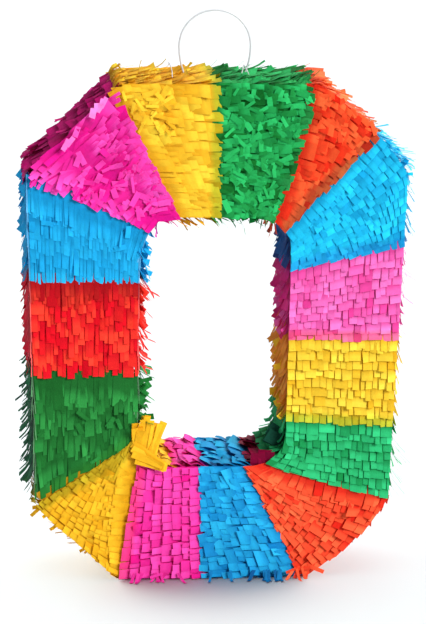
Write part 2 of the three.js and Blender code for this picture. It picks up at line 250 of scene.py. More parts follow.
ALONG, WIDE = 5, 3  # points along a finger and across it
LENGTHWISE = np.linspace(0, 1, ALONG)[None, :, None]  # shares of its length
CROSSWISE = np.linspace(-1, 1, WIDE)[None, None, :]  # places across it, in half widths
SLIT = 0.25 * MM  # gap between neighbouring fingers
RIBBON = 2.5 * MM  # uncut edge that a row of fingers hangs from
PASTE = 0.3 * MM  # height of that edge over the skin's board
SKIN, SKIN_SHADE = 0.2 * MM, 0.7  # the plain tissue pasted on the board under the fringe, and the share of the deep shade it is painted at, as shade under the fringe
UNDERLAP = 6 * MM  # how far a band's first row starts under the band before it
OVERLAY_ZONE = 7.5 * MM  # tips this near the next band lie on its colour alone, and it shows through
OVERLAY_SHARE = 0.3  # the most of a band's length that this may be
SHOW_THROUGH = 0.42
LIFT_OVER = 1.3 * MM  # the yellow band's last row lies on top of the green band's
SELVEDGE = 0.8 * MM
WORN = 0.1  # how much paler the skin is along the board's edges, and the selvedges
# How far the faces' fringe reaches past the board, over the ends of the walls' fringe: all along the hole, at
# the rim's corners (across and up, clockwise from the top side's left end), and what a side's middle adds.
HOLE_REACH = 4.2 * MM
REACHES = (-4, 4), (2.5, 4), (5.5, 1), (5.5, -6), (5, -4), (-3.5, -3.5), (-1, -9), (-3.5, 3.5)
RIM_REACH = np.array(REACHES) * MM
RIM_BULGES = {1: 5 * MM, 3: 7 * MM, 7: -2.5 * MM}
PADDING = 0.7  # the share of that reach that the walls' fringe stands out by at its roots
CORNER = 1.2 * MM  # how far from its edges the skin is paler
EDGE_SLACK = 1.2 * MM  # how far a leaning finger may stick out past a face's edge
EDGE_ZONE = 0.35  # the share of a row at each end whose fingers turn to follow the edge
LEAST_COSINE = 0.3  # between a finger and the way across its row
CROWN = 0.12 * MM  # how far the middle of a finger stands over its edges
NARROWEST, SHORTEST = 1.5 * MM, 2.5 * MM  # the least that a finger may be
FLOOR_GAP = 0.2 * MM
SPLAY_LIMIT = 7 * MM  # how far the fingers that reach the floor may spread out over it
SPLAY_RISE = 0.15
LOOSE_YAW = 14  # how much loose fingers lean to the side, in degrees
FLAG_SLOPE = 0.05
BAND_SEED, FLAP_SEED, DRIFT_SEED = 100, 300, 7
CLEAR_SEAMS = {  # bands whose tips hide the next band
    "pink_top_left", "orange_bottom_right", "green_right", "blue_bottom", "red_left", "blue_upper_left",
}
STAINED = {"red_left": (0.55, 0.42, 0.5)}  # bands whose first rows are painted darker, as shade under the overhanging tips of the band before

BOARD_Y = -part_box("front_panel")[0].y  # the board's outer face
RIM_HALF = BOARD_Y + 0.5 * MM


def linear(shade):
    """An sRGB shade of 0 to 255 as linear numbers."""
    c = np.asarray(shade, float) / 255
    return np.where(c < 0.04045, c / 12.92, ((c + 0.055) / 1.055) ** 2.4)


def between(shades, share):
    """The colour a share of the way from the deep shade to the light one."""
    return shades[0] * (1 - share) + shades[1] * share


def upright(flat, y):
    """Points (x, y, z) from places (x, z) and their depths."""
    return np.stack([flat[..., 0], y, flat[..., 1]], axis=-1)


def clockwise(way):
    """A direction (x, z) turned by a right angle, clockwise from the front."""
    return np.array([way[1], -way[0]])


# ---------------- outlines
class Outline:
    """A board outline of straight sides, clockwise from the front, from the left end of the top side."""

    def __init__(self, corners, outward, reach, bulges):
        self.corners = corners
        steps = np.roll(corners, -1, axis=0) - corners
        self.lengths = np.linalg.norm(steps, axis=1)
        self.starts = np.concatenate([[0.0], np.cumsum(self.lengths)])
        self.total = self.starts[-1]
        self.tangents = steps / self.lengths[:, None]
        normals = np.stack([-self.tangents[:, 1], self.tangents[:, 0]], axis=1) * outward
        before = np.roll(normals, 1, axis=0)
        self.mitres = (before + normals) / (1 + (before * normals).sum(1))[:, None]
        self.reach = self.mitres * reach if np.isscalar(reach) else reach
        self.bulge = normals * np.array([bulges.get(k, 0.0) for k in range(len(corners))])[:, None]

    def locate(self, s):
        """The corners before and after distances s along the outline, and how far between them."""
        s = np.mod(np.asarray(s, float), self.total)
        k = np.clip(np.searchsorted(self.starts, s, side="right") - 1, 0, len(self.corners) - 1)
        return k, (k + 1) % len(self.corners), ((s - self.starts[k]) / self.lengths[k])[..., None]

    def at(self, s, height=0.0):
        """The points (x, z) at distances s along the outline, raised by height."""
        k, n, part = self.locate(s)
        raised = np.asarray(height, float)[..., None]
        plain = self.corners[k] * (1 - part) + self.corners[n] * part
        return plain + raised * (self.mitres[k] * (1 - part) + self.mitres[n] * part)

    def edge(self, s, share=1.0, height=0.0):
        """Where the faces' fringe ends at distances s, or a share of the way to there, raised by height."""
        k, n, part = self.locate(s)
        reach = self.reach[k] * (1 - part) + self.reach[n] * part + self.bulge[k] * 4 * part * (1 - part)
        return self.at(s, height) + share * reach

    def way(self, s, ahead):
        """The clockwise direction along the fringe's edge between s and a distance ahead of or behind it."""
        step = (self.edge(s + ahead) - self.edge(s)) * math.copysign(1, ahead)
        return step / np.linalg.norm(step)

    def nearest(self, point_mm):
        """The distance along the outline of the place nearest to a point in mm."""
        away = np.asarray(point_mm, float) * MM - self.corners
        along = np.clip((away * self.tangents).sum(1), 0, self.lengths)
        gaps = np.linalg.norm(away - along[:, None] * self.tangents, axis=1)
        return (self.starts[:-1] + along)[gaps.argmin()]


def panel_outlines():
    """The outer outline and the hole's, from the front board's own corners."""
    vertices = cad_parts["front_panel"].data.vertices
    points = np.array(sorted({(round(v.co.x, 6), round(v.co.z, 6)) for v in vertices}))
    away = points - np.array([0.0, points[:, 1].mean()])
    inside, outside = np.split(np.argsort(np.linalg.norm(away, axis=1)), 2)
    outlines = []
    for chosen, *rest in ((outside, 1, RIM_REACH, RIM_BULGES), (inside, -1, HOLE_REACH, {})):
        turn = np.mod(np.arctan2(away[chosen, 0], away[chosen, 1]) + math.radians(30), 2 * math.pi)
        outlines.append(Outline(points[chosen][np.argsort(turn)], *rest))
    return outlines


RIM, HOLE = panel_outlines()


class Span:
    """The part of the ring from one seam to the next, or to a line between them. A place in it is v, 0 to 1.
    It runs from s0 to s1 along the rim, t0 to t1 along the hole's edge, and w0 to w1 on the hole's wall."""

    def __init__(self, index, first=0.0, last=1.0):
        band, after = BANDS[index], BANDS[(index + 1) % len(BANDS)]
        wall = [HOLE_WALL_SEAMS.get(b.name, b.hole) for b in (band, after)]
        ends = []
        for outline, seams in ((RIM, (band.rim, after.rim)), (HOLE, (band.hole, after.hole)), (HOLE, wall)):
            a, b = (outline.nearest(seam) for seam in seams)
            b += outline.total if b < a else 0
            ends.append((a + first * (b - a), a + last * (b - a)))
        (self.s0, self.s1), (self.t0, self.t1), (self.w0, self.w1) = ends
        self.leg = band.leg
        bows = band.bow, after.bow
        self.bows = [(bows[0] * (1 - f) + bows[1] * f) * MM for f in (first, last)]

    def s(self, v):
        return self.s0 + v * (self.s1 - self.s0)

    def t(self, v):
        return self.t0 + v * (self.t1 - self.t0)

    def line(self, v):
        """The row line's ends at the hole and at the rim, its unit vector, and the one across it."""
        inner, outer = HOLE.edge(self.t(v)), RIM.edge(self.s(v))
        along = (outer - inner) / np.linalg.norm(outer - inner)
        return inner, outer, along, clockwise(along)

    def bow(self, v, u):
        v = min(max(v, 0.0), 1.0)
        return (self.bows[0] * (1 - v) + self.bows[1] * v) * 4 * u * (1 - u)

    def hang(self, v, u, ahead):
        """The clockwise ways along fingers at shares u of the row line at v: along the leg or across the
        line, but along the edges at its ends. ahead is their length, below 0 where anticlockwise."""
        middle = self.line(v)[3] if self.leg is None else RIM.tangents[self.leg] + HOLE.tangents[self.leg]
        u = np.asarray(u, float)[..., None]
        by_hole, by_rim = np.clip(1 - u / EDGE_ZONE, 0, 1), np.clip(1 - (1 - u) / EDGE_ZONE, 0, 1)
        way = by_hole * HOLE.way(self.t(v), ahead) + by_rim * RIM.way(self.s(v), ahead)
        way = way + (1 - by_hole - by_rim) * middle / np.linalg.norm(middle)
        return way / np.linalg.norm(way, axis=-1, keepdims=True)

    def on_line(self, v, u):
        """The point a share u of the way from the hole to the rim, on the row line at v."""
        inner, outer, _, across = self.line(v)
        u = np.asarray(u, float)[..., None]
        return inner * (1 - u) + outer * u + self.bow(v, u) * across


# ---------------- fringe
class Sheet:
    """Vertices, faces and vertex colours being gathered for one piece."""

    def __init__(self):
        self.points, self.faces, self.tints, self.count = [], [], [], 0

    def add(self, points, faces, tints):
        self.points.append(points.reshape(-1, 3))
        self.tints.append(np.broadcast_to(tints, points.shape).reshape(-1, 3))
        self.faces.append(np.asarray(faces) + self.count)
        self.count += self.points[-1].shape[0]

    def mesh(self, name):
        points = np.concatenate(self.points)
        sunk = np.clip(FLOOR_GAP - points[:, 2], 0, SPLAY_LIMIT) * (np.abs(points[:, 1]) > BOARD_Y)
        points[:, 1] += np.sign(points[:, 1]) * sunk
        points[:, 2] = np.maximum(points[:, 2], FLOOR_GAP + SPLAY_RISE * sunk)
        mesh = bpy.data.meshes.new(name)
        mesh.from_pydata(points.tolist(), [], np.concatenate(self.faces).tolist())
        mesh.shade_smooth()
        tint = mesh.color_attributes.new("tint", "FLOAT_COLOR", "POINT")
        colours = np.concatenate([np.concatenate(self.tints), np.ones((len(points), 1))], axis=1)
        tint.data.foreach_set("color", colours.astype(np.float32).ravel())
        return mesh


def cut(rng, start, end, style):
    """Centres and widths of the fingers cut along a row."""
    edges, a = [], start
    if style.selvedge:
        edges, a, end = [(start, start + SELVEDGE)], start + SELVEDGE, end - SELVEDGE
    while a < end - NARROWEST:
        width = rng.uniform(*style.width) * MM * (2 if rng.random() < style.double else 1)
        width = end - a if a + width > end - NARROWEST else width
        edges.append((a, a + width - SLIT))
        a += width
    if style.selvedge:
        edges.append((end, end + SELVEDGE))
    edges = np.array(edges)
    return edges.mean(1), edges[:, 1] - edges[:, 0]


def drift(places, seed):
    """A smooth uneven field of about -1 to 1 at places (x, z), a few centimetres from crest to crest."""
    rng = np.random.default_rng(seed)
    total = 0
    for _ in range(5):
        turn, length = rng.uniform(0, math.pi), rng.uniform(14, 45) * MM
        phase = places @ (math.cos(turn), math.sin(turn)) * (2 * math.pi / length)
        total = total + np.sin(phase + rng.uniform(0, 2 * math.pi))
    return total / 2.2


def finger_shapes(rng, centres, widths, lengths, style, raised=0.0):
    """Chart coordinates (along the row, along the finger, height), shaped (finger, along, across)."""
    n, t, c = len(centres), LENGTHWISE, CROSSWISE
    each = lambda x: np.asarray(x)[:, None, None]
    yaw = each(np.radians(rng.normal(0, style.yaw, n)))
    lift = each(rng.normal(1, style.lift, n).clip(0.6, 2.2))
    curl = each(np.where(rng.random(n) < style.curled, rng.uniform(0.3, 1, n) * style.curl, 0.0))
    twist = each(rng.normal(0, 0.05, n))
    half, length = each(widths / 2), each(lengths)
    a = each(centres) + c * half * (1 - 0.04 * t) + length * t * np.sin(yaw)
    b = length * t * np.cos(yaw) * (1 - 0.35 * curl * t) - c * half * np.sin(yaw) * t
    h = PASTE + style.slope * lift * b + curl * length * t**3 + twist * c * half * t * 4
    h = h + style.bulge * MM * np.sin(math.pi * t) + CROWN * (1 - c**2) * t + raised * t
    return a, b, np.maximum(h, PASTE)


def finger_tints(rng, shades, under, remaining, zone, bases, stain, style):
    """Colours of fingers' points: painted shade, deep where they come out from under the row before and a
    little darker by the slits; light at the tips, and showing the next band's colour where they lie on it.
    The last argument is a painted shade for the rows under the tips of the band before."""
    n = len(bases)
    shown = 1 - style.pitch / style.length  # the part before this lies under the row before
    # painted shade: the share runs from deep under the row before to light where the finger shows
    rise = np.clip((LENGTHWISE - shown + 0.06) / 0.3, 0, 1)
    lightness = rng.normal(0.62, style.tone, n) + style.blotch * drift(bases, DRIFT_SEED)
    lightness = np.clip(lightness, 0.05, 1.1)[:, None, None]
    share = (0.15 + 0.85 * rise) * lightness * np.ones_like(CROSSWISE)
    # painted shade: darker at the root and at the edges by the slits; then a random tone per finger
    tone = (0.88 + 0.12 * rise) * (1 - 0.04 * CROSSWISE**2)
    tone = tone * np.exp(rng.normal(0, 0.04, n))[:, None, None]
    tints = between(shades, share[..., None])
    if under is not None:
        mix = SHOW_THROUGH * np.clip((zone + 1.5 * MM - remaining) / (3 * MM), 0, 1)[..., None]
        tints = tints * (1 - mix + under * mix)
    if style.selvedge:
        tints[[0, -1]] = tints[[0, -1]] * (1 - WORN) + WORN
    return np.clip(tints * tone[..., None] * stain, 0, 1)


def strip_faces(first=0, rows=ALONG):
    """Faces of one finger, whose points start at first and are laid out as (along, across)."""
    corners = [first + j * WIDE + k for j in range(rows - 1) for k in range(WIDE - 1)]
    return [(c, c + 1, c + WIDE + 1, c + WIDE) for c in corners]


def row_faces(n):
    """Faces of a row laid out as (finger, 1 + ALONG, WIDE): fingers, and the uncut ribbon between them."""
    size = (ALONG + 1) * WIDE
    faces = []
    for first in range(0, n * size, size):
        faces += strip_faces(first, ALONG + 1)
    for after in range(size, n * size, size):
        end = after - size + WIDE - 1
        faces.append((end, after, after + WIDE, end + WIDE))
    return faces


def ring_faces(first, rings, around):
    """Faces between rings of points that start at first, each closed in itself."""
    faces = []
    for i in range(first, first + (rings - 1) * around, around):
        for j in range(around):
            a, b = i + j, i + (j + 1) % around
            faces.append((a, b, b + around, a + around))
    return faces


def lay_row(sheet, rng, chart, span, style, room, zone, shades, under, raised=0.0, stain=1.0, stop=None):
    """One row of fringe. chart turns (a, b, h) into points. room and stop are how far it is at a to the next
    band and to what else is in the way, and zone how far from that band tips lie on its colour alone."""
    centres, widths = cut(rng, span[0], span[1], style)
    lengths = style.length * MM + rng.normal(0, style.ragged * MM, len(centres))
    left = room(centres)
    lengths = np.minimum(lengths, left + rng.normal(0, min(style.ragged, 1.2) * 0.6 * MM, len(centres)))
    if stop is not None:
        lengths = np.minimum(lengths, stop(centres))
    kept = lengths > SHORTEST
    if not kept.any():
        return
    centres, widths, lengths, left = centres[kept], widths[kept], lengths[kept], left[kept]
    a, b, h = finger_shapes(rng, centres, widths, lengths, style, raised)
    local = zone(centres)[:, None, None]
    bases = chart(centres, np.zeros_like(centres), np.zeros_like(centres))[:, [0, 2]]
    tints = finger_tints(rng, shades, under, left[:, None, None] - b, local, bases, stain, style)
    ribbon = [a[:, :1], b[:, :1] - RIBBON, h[:, :1] * 0 + PASTE * 0.5]
    a, b, h = (np.concatenate(pair, axis=1) for pair in zip(ribbon, (a, b, h)))
    tints = np.concatenate([tints[:, :1], tints], axis=1)
    splits = np.flatnonzero(np.diff(np.flatnonzero(kept)) > 1) + 1
    for part in np.split(np.arange(len(centres)), splits):
        sheet.add(chart(a[part], b[part], h[part]), row_faces(len(part)), tints[part])


def row_places(start, end, flow, style, underlap):
    """Where rows begin, from the last, whose tips reach the end, to the first, under the band before."""
    length = abs(end - start)
    reach, places = style.length * MM, []
    while reach < length + underlap:
        places.append(reach)
        reach += style.pitch * MM
    places.append(length + underlap)
    return [end - flow * p for p in places] if flow > 0 else [start + p for p in places]


def face_rows(sheet, rng, span, side, flow, style, shades, under, underlap, raised, stain, keep_out=None):
    """The rows on the front (side -1) or back (side 1) of a span."""
    v_end = 1.0 if flow > 0 else 0.0
    ahead = flow * style.length * MM
    places = row_places(span.s0, span.s1, flow, style, underlap)
    for n, s in enumerate(places):
        v = (s - span.s0) / (span.s1 - span.s0)
        inner, outer, along, across = span.line(v)
        width = np.linalg.norm(outer - inner)

        def base(a, u):
            return inner + a[..., None] * along + span.bow(v, u)[..., None] * across

        def chart(a, b, h):
            a = np.clip(a, -EDGE_SLACK, width + EDGE_SLACK)
            u = np.clip(a / width, 0, 1)
            flat = base(a, u) + flow * b[..., None] * span.hang(v, u, ahead)
            return upright(flat, side * (BOARD_Y + h))

        def room(a):
            u = a / width
            gap = (span.on_line(v_end, u) - base(a, u)) @ across
            return gap * flow / np.maximum(span.hang(v, u, ahead) @ across, LEAST_COSINE)

        def zone(a):
            u = a / width
            local = np.linalg.norm(span.on_line(1.0, u) - span.on_line(0.0, u), axis=-1)
            return np.minimum(OVERLAY_ZONE, OVERLAY_SHARE * local)

        stop = None if keep_out is None else keep_out(chart)
        height = raised if n < 1 else 0.0
        # painted shade on the two rows nearest the band before, under its overhanging tips
        dye = stain if n == len(places) - 1 else np.sqrt(stain) if n == len(places) - 2 else 1.0
        lay_row(sheet, rng, chart, (0.0, width), style, room, zone, shades, under, height, dye, stop)


def wall_rows(sheet, rng, outline, start, end, flow, style, shades, under, underlap):
    """The rows on an outer side or on the wall of the hole."""
    zone_width = min(OVERLAY_ZONE, OVERLAY_SHARE * (end - start))
    for s in row_places(start, end, flow, style, underlap):
        chart = lambda a, b, h: upright(outline.edge(s + flow * b, PADDING, h), a)
        room = lambda a: np.full(len(a), (end - s) if flow > 0 else (s - start))
        zone = lambda a: np.full(len(a), zone_width)
        lay_row(sheet, rng, chart, (-RIM_HALF, RIM_HALF), style, room, zone, shades, under)
        for _ in range(style.whiskers):
            whisker(sheet, rng, chart, shades)


def loose_finger(rng, width, length, slope, curl, yaw=LOOSE_YAW):
    """Chart coordinates of one finger of its own."""
    style = NEAT._replace(slope=slope, yaw=yaw, curled=1.0, curl=curl, bulge=rng.uniform(0, 0.8))
    return finger_shapes(rng, np.zeros(1), np.array([width * MM]), np.array([length * MM]), style)


def tufts(sheet, rng, band, shades):
    """The band's bunches of cuttings."""
    for tuft in TUFTS.get(band.name, ()):
        outline = RIM if tuft.rim else HOLE
        for _ in range(tuft.count):
            s = outline.nearest(tuft.middle) + rng.normal(0, tuft.spread / 2) * MM
            way = band.flow or rng.choice([-1, 1])
            steep = tuft.steep * rng.uniform(0.7, 1.3)
            size = rng.uniform(*tuft.width), rng.uniform(*tuft.length)
            a, b, h = loose_finger(rng, *size, steep, rng.uniform(0, 0.4))
            a = a + rng.uniform(*tuft.depths) * MM
            share = np.clip(rng.normal(0.6, 0.3), 0, 1)
            points = upright(outline.edge(s + way * b, PADDING, h), a)
            sheet.add(points, strip_faces(), between(shades, share))


def flags(sheet, rng, band):
    """The band's loose pieces that face the front."""
    for flag in FLAGS.get(band.name, ()):
        shades = [linear(c) for c in flag.shades or (band.deep, band.light)]
        start, end = np.array(flag.start) * MM, np.array(flag.end) * MM
        for _ in range(flag.count):
            base = start + (end - start) * rng.random()
            angle = math.radians(flag.angle + rng.normal(0, flag.spread / 2))
            way = np.array([math.cos(angle), math.sin(angle)])
            curl = rng.uniform(0, 0.3)
            size = rng.uniform(*flag.width), rng.uniform(*flag.length)
            a, b, h = loose_finger(rng, *size, FLAG_SLOPE, curl, min(flag.spread, LOOSE_YAW))
            flat = base + a[..., None] * clockwise(way) + b[..., None] * way
            share = np.clip(rng.normal(0.6, 0.25), 0, 1)
            points = upright(flat, rng.uniform(*flag.depths) * MM - h)
            sheet.add(points, strip_faces(), between(shades, share))


def scraps(sheet, rng, span, style, shades, side):
    """Loose fingers that lie at odd angles on a tangled band."""
    for _ in range(style.scraps):
        v0, v1, u0, u1 = style.scrap_area
        v, u = rng.uniform(v0, v1), rng.uniform(u0, u1)
        centre, hang = span.on_line(v, np.array(u)), span.line(v)[3]
        turn = rng.normal(0, 0.9)
        along = hang * math.cos(turn) - clockwise(hang) * math.sin(turn)
        length = rng.uniform(7, 14)
        a, b, h = loose_finger(rng, rng.uniform(2, 5), length, rng.uniform(0.06, 0.22), rng.uniform(0, 0.4))
        h = h + rng.uniform(1.2, 2.2) * MM
        flat = centre - a[..., None] * clockwise(along) + (b - length * MM / 2)[..., None] * along
        share = np.clip(rng.normal(0.65, 0.25), 0, 1.1)
        points = upright(flat, side * (BOARD_Y + h))
        sheet.add(points, strip_faces(), np.clip(between(shades, share), 0, 1))


def whisker(sheet, rng, chart, shades):
    """A thin cutting that stands out from the edge of a wall, near the front or the back."""
    size = rng.uniform(0.8, 1.6), rng.uniform(7, 11)
    a, b, h = loose_finger(rng, *size, rng.uniform(0.4, 0.75), rng.uniform(0, 0.5))
    share = rng.uniform(0, 1)
    a = a + rng.choice([-1, 1]) * rng.uniform(0.6, 0.98) * RIM_HALF
    sheet.add(chart(a, b, h), strip_faces(), between(shades, share))


# ---------------- skin
def skin(sheet, span, shades):
    """Plain tissue pasted on the board under a band's fringe, all the way round the section. It is painted
    darker than the band's deep shade, as the shade under the fringe, and is paler along the board's edges."""
    breaks = {0.0, 1.0}
    for outline, lo, hi in ((RIM, span.s0, span.s1), (HOLE, span.t0, span.t1)):
        for lap in (0, outline.total):
            breaks |= {(c + lap - lo) / (hi - lo) for c in outline.starts[:-1] if lo < c + lap < hi}
    marks = sorted(breaks)
    places = []
    for a, b in zip(marks, marks[1:]):
        places += list(np.linspace(a, b, 5)[:-1])
    places.append(1.0)
    shares = np.linspace(0, 1, 9)
    y = BOARD_Y + SKIN
    rings = []
    for v in places:
        inner, outer = HOLE.at(span.t(v), SKIN), RIM.at(span.s(v), SKIN)
        inward = (inner - outer) / np.linalg.norm(inner - outer) * CORNER
        bow = span.line(v)[3]
        face = [inner, inner - inward]
        face += [inner * (1 - u) + outer * u + span.bow(v, u) * bow for u in shares[1:-1]]
        face += [outer + inward, outer]
        ring = [(p[0], -y, p[1]) for p in face]
        ring += [(outer[0], -y + CORNER, outer[1]), (outer[0], y - CORNER, outer[1])]
        ring += [(p[0], y, p[1]) for p in reversed(face)]
        ring += [(inner[0], y - CORNER, inner[1]), (inner[0], -y + CORNER, inner[1])]
        rings.append(ring)
    around = len(rings[0])
    # painted shade: the skin is darker than the fringe's deepest shade above it
    tints = np.tile(shades[0] * SKIN_SHADE, (len(rings), around, 1))
    corners = len(shares) + 2
    tints[:, [0, corners - 1, corners + 2, 2 * corners + 1]] = shades[1] * (1 - WORN) + WORN
    sheet.add(np.array(rings), ring_faces(0, len(rings), around), tints)


# ---------------- the flap's window
FLAP_LO, FLAP_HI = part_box("fill_flap")
CLEARANCE = 0.8 * MM
CREASE = 6.3 * MM  # room above the crease for the flap's own fringe to turn in
# the flap fringe's margin, and the share of the deep shade its backing is painted at, as shade under the
# fringe
FLAP_MARGIN, FLAP_SHADE = 0.4 * MM, 0.75
LARGEST_FINGER_FACE = 40 * MM**2
WINDOW = FLAP_LO.x - CLEARANCE, FLAP_HI.x + CLEARANCE, FLAP_LO.z - CLEARANCE, FLAP_HI.z + CREASE


def window_keep_out(chart):
    """How long a row's fingers may be at a, to stop short of the flap's window. Those in it are left out."""
    x0, x1, z0, z1 = WINDOW
    probe, beside, gap = 5 * MM, 4.5 * MM, 1.2 * MM  # along a finger, half across one that leans, and past it

    def stop(a):
        base = chart(a, np.zeros_like(a), np.zeros_like(a))
        tip = chart(a, np.full_like(a, probe), np.zeros_like(a))
        level = (base[:, 2] > z0 - beside) & (base[:, 2] < z1 + beside)
        slope = (tip[:, 0] - base[:, 0]) / probe
        to_window = (x0 - base[:, 0]) / np.maximum(slope, 0.2) - gap
        inside = level & (base[:, 0] > x0 - 1 * MM) & (base[:, 0] < x1 + RIBBON)
        before = level & (base[:, 0] <= x0)
        return np.where(inside, -1.0, np.where(before, to_window, 1.0))

    return stop


def cut_window(mesh):
    """Opens the flap's window in the skin at the back."""
    x0, x1, z0, _ = WINDOW
    z1 = FLAP_HI.z + 0.5 * MM
    bm = bmesh.new()
    bm.from_mesh(mesh)
    for axis, place in ((0, x0), (0, x1), (2, z0), (2, z1)):
        at_back = [f for f in bm.faces if f.calc_center_median().y > BOARD_Y and abs(f.normal.y) > 0.99]
        flat = [f for f in at_back if f.calc_area() > LARGEST_FINGER_FACE]
        geometry = flat + [e for f in flat for e in f.edges] + [v for f in flat for v in f.verts]
        co, no = Vector(), Vector()
        co[axis], no[axis] = place, 1
        bmesh.ops.bisect_plane(bm, geom=list(dict.fromkeys(geometry)), plane_co=co, plane_no=no)
    on_skin = [f for f in bm.faces if all(abs(v.co.y - BOARD_Y - SKIN) < 0.01 * MM for v in f.verts)]
    middles = [f.calc_center_median() for f in on_skin]
    doomed = [f for f, m in zip(on_skin, middles) if x0 < m.x < x1 and z0 < m.z < z1]
    bmesh.ops.delete(bm, geom=doomed, context="FACES")
    bm.to_mesh(mesh)
    bm.free()


# ---------------- materials
class Tree:
    """A new material's nodes: its Principled shader, its output, and what is added to them."""

    def __init__(self, name):
        self.material = bpy.data.materials.new(name)
        self.material.use_nodes = True
        self.nodes = self.material.node_tree.nodes
        self.shader, self.out = self.nodes["Principled BSDF"], self.nodes["Material Output"]

    def set(self, node, inputs):
        """Sets sockets of a node to numbers and colours, or links them to other nodes' sockets."""
        for socket, value in inputs.items():
            if isinstance(value, bpy.types.NodeSocket):
                self.material.node_tree.links.new(value, node.inputs[socket])
            else:
                node.inputs[socket].default_value = value

    def add(self, kind, inputs=None, **settings):
        """A new node of a kind, with its settings and its inputs."""
        node = self.nodes.new("ShaderNode" + kind)
        for setting, value in settings.items():
            setattr(node, setting, value)
        self.set(node, inputs or {})
        return node


def tissue_material(name, glow, crinkle):
    """Tissue paper: matt, lets some light through, with fine crinkles and uneven dye."""
    tree = Tree(name)
    where = tree.add("TexCoord").outputs["Object"]
    tint = tree.add("VertexColor", layer_name="tint").outputs["Color"]
    dye = tree.add("TexNoise", {"Vector": where, "Scale": 160, "Detail": 3}).outputs["Fac"]
    uneven = {"Value": dye, "From Min": 0.3, "From Max": 0.7, "To Min": 0.9, "To Max": 1.06}
    depth = tree.add("MapRange", uneven).outputs["Result"]
    colour = tree.add("VectorMath", {0: tint, "Scale": depth}, operation="SCALE").outputs[0]
    crinkles = {"Vector": where, "Scale": crinkle, "Detail": 4, "Roughness": 0.6}
    folds = tree.add("TexNoise", crinkles).outputs["Fac"]
    bump = tree.add("Bump", {"Strength": 0.5, "Distance": 0.6 * MM, "Height": folds}).outputs["Normal"]
    rough = tree.add("MapRange", {"Value": folds, "To Min": 0.62, "To Max": 0.86}).outputs["Result"]
    looks = {"Base Color": colour, "Roughness": rough, "Specular IOR Level": 0.12, "Normal": bump}
    tree.set(tree.shader, looks)
    through = tree.add("BsdfTranslucent", {"Color": colour, "Normal": bump})
    mix = tree.add("MixShader", {0: glow, 1: tree.shader.outputs[0], 2: through.outputs[0]})
    tree.set(tree.out, {"Surface": mix.outputs[0]})
    return tree.material


def cardboard_material():
    """Brown kraft board: flecked paper over faint flutes."""
    tree = Tree("cardboard_kraft")
    where = tree.add("TexCoord").outputs["Object"]
    fibres = tree.add("TexNoise", {"Vector": where, "Scale": 420, "Detail": 6}).outputs["Fac"]
    colours = tree.add("ValToRGB", {"Fac": fibres})
    shades = (0.3, (138, 100, 62)), (0.72, (188, 150, 104))
    for element, (place, shade) in zip(colours.color_ramp.elements, shades):
        element.position, element.color = place, (*linear(shade), 1)
    across = {"wave_type": "BANDS", "bands_direction": "Z"}
    flutes = tree.add("TexWave", {"Vector": where, "Scale": 70, "Distortion": 0.3}, **across)
    bump = tree.add("Bump", {"Strength": 0.25, "Distance": 0.4 * MM, "Height": flutes.outputs["Fac"]})
    tree.set(tree.shader, {
        "Base Color": colours.outputs["Color"], "Roughness": 0.85, "Specular IOR Level": 0.25,
        "Normal": bump.outputs["Normal"],
    })
    return tree.material


def nylon_material():
    """Clear springy nylon line, a little scuffed."""
    tree = Tree("nylon_clear")
    where = tree.add("TexCoord").outputs["Object"]
    scuffs = tree.add("TexNoise", {"Vector": where, "Scale": 900}).outputs["Fac"]
    rough = tree.add("MapRange", {"Value": scuffs, "To Min": 0.3, "To Max": 0.5}).outputs["Result"]
    milky = {"Base Color": (0.64, 0.65, 0.67, 1), "Transmission Weight": 0.2, "IOR": 1.53}
    tree.set(tree.shader, {**milky, "Roughness": rough})
    return tree.material


# How much light the tissues let through, and the scale of their crinkles.
PAPERS = {
    "pink": (0.22, 700), "yellow": (0.22, 650), "green": (0.2, 750),
    "orange": (0.22, 700), "red": (0.22, 700), "blue": (0.22, 650),
}
TISSUES = {colour: tissue_material("tissue_" + colour, *paper) for colour, paper in PAPERS.items()}


# ---------------- the pieces
def add_object(name, data):
    made = bpy.data.objects.new(name, data)
    bpy.context.scene.collection.objects.link(made)
    return made


def add_piece(name, mesh, material, body, nodes=()):
    piece = add_object(name, mesh)
    mesh.materials.append(material)
    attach(piece, body)
    if nodes:
        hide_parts(*nodes)


def add_fringe(name, sheet, band, body, nodes, over_flap=False):
    mesh = sheet.mesh("fringe_" + name)
    if over_flap:
        cut_window(mesh)
    colour = band.name.split("_")[0]
    add_piece("fringe_" + name, mesh, TISSUES[colour], body, nodes)


def neighbour(index, flow):
    return BANDS[(index + flow) % len(BANDS)]


def band_parts(index):
    """(span, flow, underlap) for a band: one part, or two for the band whose fingers part."""
    band = BANDS[index]
    if band.flow:
        follows = neighbour(index, -band.flow).flow in (band.flow, 0)
        return [(Span(index), band.flow, UNDERLAP if follows else 0.0)]
    return [(Span(index, 0.0, RIDGE), -1, 0.0), (Span(index, RIDGE, 1.0), 1, 0.0)]


